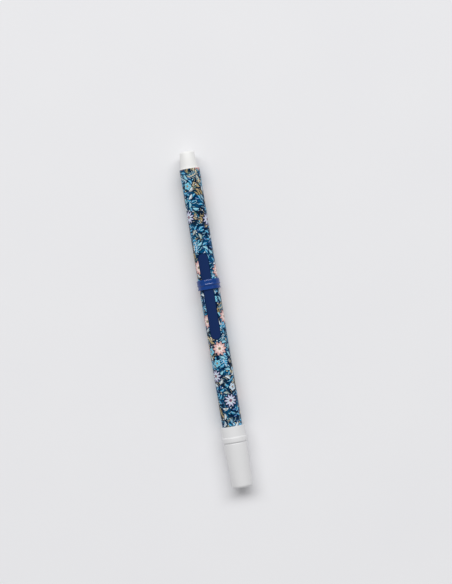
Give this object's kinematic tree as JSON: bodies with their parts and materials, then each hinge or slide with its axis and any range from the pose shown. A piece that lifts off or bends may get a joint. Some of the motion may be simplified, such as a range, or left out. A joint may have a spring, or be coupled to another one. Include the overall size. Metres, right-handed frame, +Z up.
{
  "type": "fabric marking pen",
  "caption": "Capped fibre-tip fabric marking pen with a printed barrel, a sliding ring, a white pull-off cap and a white rear plug.",
  "frame": {"origin": "bottom centre of the bounding box: on the table, under the middle of the pen as it lies on its side", "axes": "+X along the pen from the rear plug to the cap, +Y across it, +Z up from the table it lies on"},
  "size_m": [0.1624, 0.0118, 0.0119],
  "materials": {
    "white_plastic": "smooth satin white polypropylene",
    "printed_film": null,
    "blue_plastic": "glossy royal blue plastic",
    "fibre_rod": "bonded polyester fibre",
    "clear_film": "thin clear film",
    "nib_fibre": "dense pressed fibre",
    "milky_plastic": "soft milky polyethylene",
    "cap_plastic": "smooth satin white, slightly milky"
  },
  "bodies": {
    "pen_body": {"barrel": "white_plastic", "barrel_print": "printed_film", "rear_plug": "white_plastic", "front_section": "white_plastic", "nib": "nib_fibre", "ink_reservoir": "fibre_rod", "reservoir_wrap": "clear_film"},
    "pen_cap": {"cap": "cap_plastic", "inner_cap": "milky_plastic"},
    "band": {"retaining_band": "blue_plastic"}
  },
  "joints": [
    {"name": "cap_pull", "type": "slide", "parent": "pen_body", "child": "pen_cap", "axis": [1, 0, 0], "range_m": [0, 0.04]},
    {"name": "band_slide", "type": "slide", "parent": "pen_body", "child": "band", "axis": [1, 0, 0], "range_m": [-0.053, 0.0655]}
  ]
}
